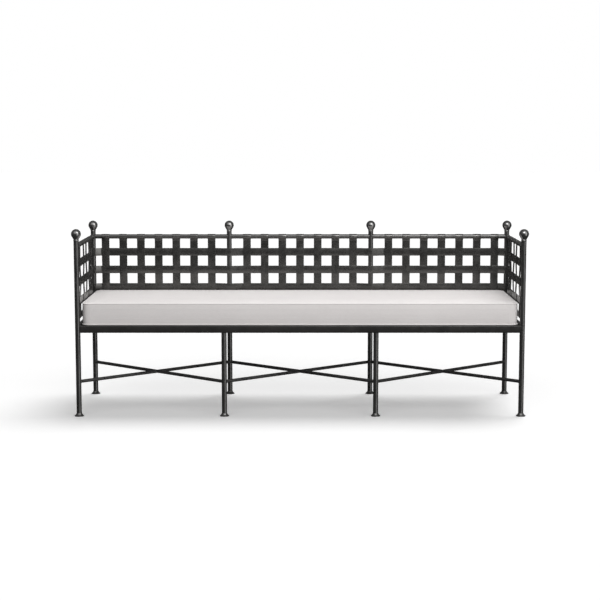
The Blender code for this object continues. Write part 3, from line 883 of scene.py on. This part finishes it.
def make_zip():
    """A flap over the zip along the cushion's back, and its pull tab."""
    z = (LOW_SEAM_Z + TOP_SEAM_Z) / 2
    y = COVER_HIGH.y + ZIP_OFF
    form = bmesh.new()
    line = spaced([Vector((-ZIP_HALF, y, z)), Vector((ZIP_HALF, y, z))], 0.02)
    line = [point + Y_AXIS * 0.0004 * noise.noise(point * 25.0) for point in line]
    flap = rounded_rectangle(FLAP_HALF_WIDTH, ZIP_HALF_THICKNESS, 0.0005, 3)
    add_sweep(form, line, Z_AXIS, flap)
    finish_piece("cushion_zip_flap", form, WELT_CLOTH, "cushion", [], 60.0)
    form = bmesh.new()
    line = spaced([Vector((0.553, y, z)), Vector((0.578, y + 0.0012, z - 0.004))], 0.003)
    tab = rounded_rectangle(TAB_HALF_WIDTH, ZIP_HALF_THICKNESS, 0.0005, 3)
    add_sweep(form, line, Z_AXIS, tab)
    finish_piece("cushion_zip_pull", form, ZIP_PAINT, "cushion", [], 60.0)


def make_cushion():
    form, held = cushion_form()
    cushion = finish_piece("box_cushion", form, COVER_CLOTH, "cushion",
                           ["cushion_cover", "cushion_foam"], 70.0)
    filled = fill_by_cloth(cushion, held)
    settle(cushion, filled)
    smooth = cushion.modifiers.new("smooth", "SUBSURF")
    smooth.levels = smooth.render_levels = 1
    evaluated = cushion.evaluated_get(bpy.context.evaluated_depsgraph_get())
    fine = bpy.data.meshes.new_from_object(evaluated)
    cushion.modifiers.clear()
    cushion.data = fine
    make_welt("welt_top", TOP_SEAM_Z, SEAM_INSET + 0.0016, 0.0021, "cushion_welt_top")
    make_welt("welt_bottom", LOW_SEAM_Z, SEAM_INSET + 0.0006, 0.0030, "cushion_welt_bottom")
    make_zip()


# Studio --------------------------------------------------------------------------------------
CAMERA_PLACE = Vector((0.0, -6.9245, 1.365))
CAMERA_PITCH = math.radians(90.0 - 7.086)
CAMERA_LENS = 88.05
CAMERA_SENSOR = 36.0
SOFT_GLOWS = (0.14, 0.24, 1.0, 0.9)          # dome, below the horizon, front box, side box
MIRRORED_GLOWS = (0.16, 0.045, 1.4, 1.9)     # the same four, as metal mirrors them
FRONT_BOX = Vector((0.10, -0.74, 0.67))
SIDE_BOX = Vector((0.72, -0.69, 0.0))
KEY_POWER = 1.675
KEY_ANGLE = math.radians(40)
KEY_FROM = Vector((0.27, 0.32, 0.906))
FILL_POWER = 50.0
FILL_SIZE = (1.3, 1.0)
FILL_PLACE = Vector((0.9, -2.3, 2.8))
FILL_AIM = Vector((0.3, 0.0, 0.5))
FLOOR_HALF = 30.0
FLOOR_SHINE = 0.258
FLOOR_TONE = Vector((0.92, 0.92, 0.92))


def make_camera():
    data = bpy.data.cameras.new("camera")
    data.lens = CAMERA_LENS
    data.sensor_width = CAMERA_SENSOR
    camera = bpy.data.objects.new("camera", data)
    camera.location = CAMERA_PLACE
    camera.rotation_euler = Euler((CAMERA_PITCH, 0.0, 0.0))
    bpy.context.scene.collection.objects.link(camera)
    bpy.context.scene.camera = camera


def make_floor():
    """A softly glowing white table, so that shadows on it stay pale."""
    form = bmesh.new()
    bmesh.ops.create_grid(form, x_segments=1, y_segments=1, size=FLOOR_HALF)
    mesh = bpy.data.meshes.new("floor")
    form.to_mesh(mesh)
    form.free()
    floor = bpy.data.objects.new("floor", mesh)
    bpy.context.scene.collection.objects.link(floor)
    kit = Nodes("floor_white")
    tone = kit.ramp(kit.noise(0.7, 2.0), 0.3, 0.7, (FLOOR_TONE, FLOOR_TONE * 1.01))
    kit.link(tone, kit.shader.inputs["Base Color"])
    kit.shader.inputs["Roughness"].default_value = 1.0
    kit.shader.inputs["Specular IOR Level"].default_value = 0.0
    kit.shader.inputs["Emission Color"].default_value = (1.0, 1.0, 1.0, 1.0)
    kit.shader.inputs["Emission Strength"].default_value = FLOOR_SHINE
    mesh.materials.append(kit.material)
    floor.visible_glossy = False
    floor.visible_diffuse = False
    floor.visible_shadow = False
    return floor


class Sky:
    """A short way to write the world's nodes."""

    def __init__(self, world):
        self.tree = world.node_tree
        self.tree.nodes.clear()
        self.direction = self.tree.nodes.new("ShaderNodeTexCoord").outputs["Generated"]

    def vector(self, operation, first, second=None):
        node = self.tree.nodes.new("ShaderNodeVectorMath")
        node.operation = operation
        self.tree.links.new(first, node.inputs[0])
        if second is not None:
            node.inputs[1].default_value = second
        return node.outputs["Value" if operation == "DOT_PRODUCT" else "Vector"]

    def dot(self, axis, squeeze=(1.0, 1.0, 1.0)):
        """How near the view is to an axis; a squeeze below 1 widens the match that way."""
        seen = self.vector("NORMALIZE", self.vector("MULTIPLY", self.direction, squeeze))
        aimed = Vector([a * b for a, b in zip(axis, squeeze)]).normalized()
        return self.vector("DOT_PRODUCT", seen, aimed)

    def edge(self, value, low, high):
        """A soft edge, from 0 at the low value to 1 at the high one."""
        node = self.tree.nodes.new("ShaderNodeMapRange")
        node.interpolation_type = "SMOOTHSTEP"
        node.inputs["From Min"].default_value = low
        node.inputs["From Max"].default_value = high
        self.tree.links.new(value, node.inputs["Value"])
        return node.outputs["Result"]

    def math(self, operation, first, second):
        return math_node(self.tree, operation, first, second)

    def background(self, strength):
        node = self.tree.nodes.new("ShaderNodeBackground")
        node.inputs["Color"].default_value = (1.0, 1.0, 1.0, 1.0)
        if isinstance(strength, float):
            node.inputs["Strength"].default_value = strength
        else:
            self.tree.links.new(strength, node.inputs["Strength"])
        return node.outputs[0]

    def mix(self, factor, first, second):
        node = self.tree.nodes.new("ShaderNodeMixShader")
        for socket, value in zip(node.inputs, (factor, first, second)):
            self.tree.links.new(value, socket)
        return node.outputs[0]


def make_world():
    """A dim dome with a wide softbox high in front and an upright one at the right.

    Metal sees little below the horizon, fabric sees a pale floor there, and the view itself
    sees plain white.
    """
    world = bpy.data.worlds.new("studio")
    world.use_nodes = True
    sky = Sky(world)
    above = sky.edge(sky.dot(Z_AXIS), -0.04, 0.05)
    front = sky.edge(sky.dot(FRONT_BOX, (0.55, 1.0, 1.0)), 0.84, 0.95)
    side = sky.edge(sky.dot(SIDE_BOX, (1.0, 1.0, 0.45)), 0.93, 0.985)
    under = sky.math("SUBTRACT", 1.0, above)

    def sum_of(strengths):
        total = 0.0
        for part, strength in zip((above, under, front, side), strengths):
            total = sky.math("ADD", total, sky.math("MULTIPLY", part, strength))
        return total
    on_cloth = sum_of(SOFT_GLOWS)
    on_metal = sum_of(MIRRORED_GLOWS)
    path = sky.tree.nodes.new("ShaderNodeLightPath")
    lit = sky.mix(path.outputs["Is Glossy Ray"], sky.background(on_cloth),
                  sky.background(on_metal))
    output = sky.tree.nodes.new("ShaderNodeOutputWorld")
    seen = sky.mix(path.outputs["Is Camera Ray"], lit, sky.background(1.0))
    sky.tree.links.new(seen, output.inputs["Surface"])
    bpy.context.scene.world = world


def make_key():
    """A very wide key light high behind the right end, which metal doesn't mirror."""
    key = bpy.data.lights.new("key", "SUN")
    key.energy = KEY_POWER
    key.angle = KEY_ANGLE
    obj = bpy.data.objects.new("key", key)
    bpy.context.scene.collection.objects.link(obj)
    obj.rotation_euler = KEY_FROM.to_track_quat("Z", "Y").to_euler()
    obj.visible_glossy = False


def make_fill(floor):
    """A softbox near the right end that doesn't light the floor. It falls away to the left."""
    fill = bpy.data.lights.new("fill", "AREA")
    fill.shape = "RECTANGLE"
    fill.size, fill.size_y = FILL_SIZE
    fill.energy = FILL_POWER
    obj = bpy.data.objects.new("fill", fill)
    bpy.context.scene.collection.objects.link(obj)
    obj.location = FILL_PLACE
    obj.rotation_euler = (FILL_AIM - FILL_PLACE).to_track_quat("-Z", "Y").to_euler()
    unlit = bpy.data.collections.new("not_lit_by_fill")
    unlit.objects.link(floor)
    unlit.collection_objects[0].light_linking.link_state = "EXCLUDE"
    obj.light_linking.receiver_collection = unlit


def make_studio():
    make_camera()
    make_world()
    make_key()
    make_fill(make_floor())
    bpy.context.scene.view_settings.view_transform = "Standard"


make_studio()
make_posts()
make_rails()
make_lattice()
make_seat_rails()
make_decks()
make_stretchers()
make_cushion()
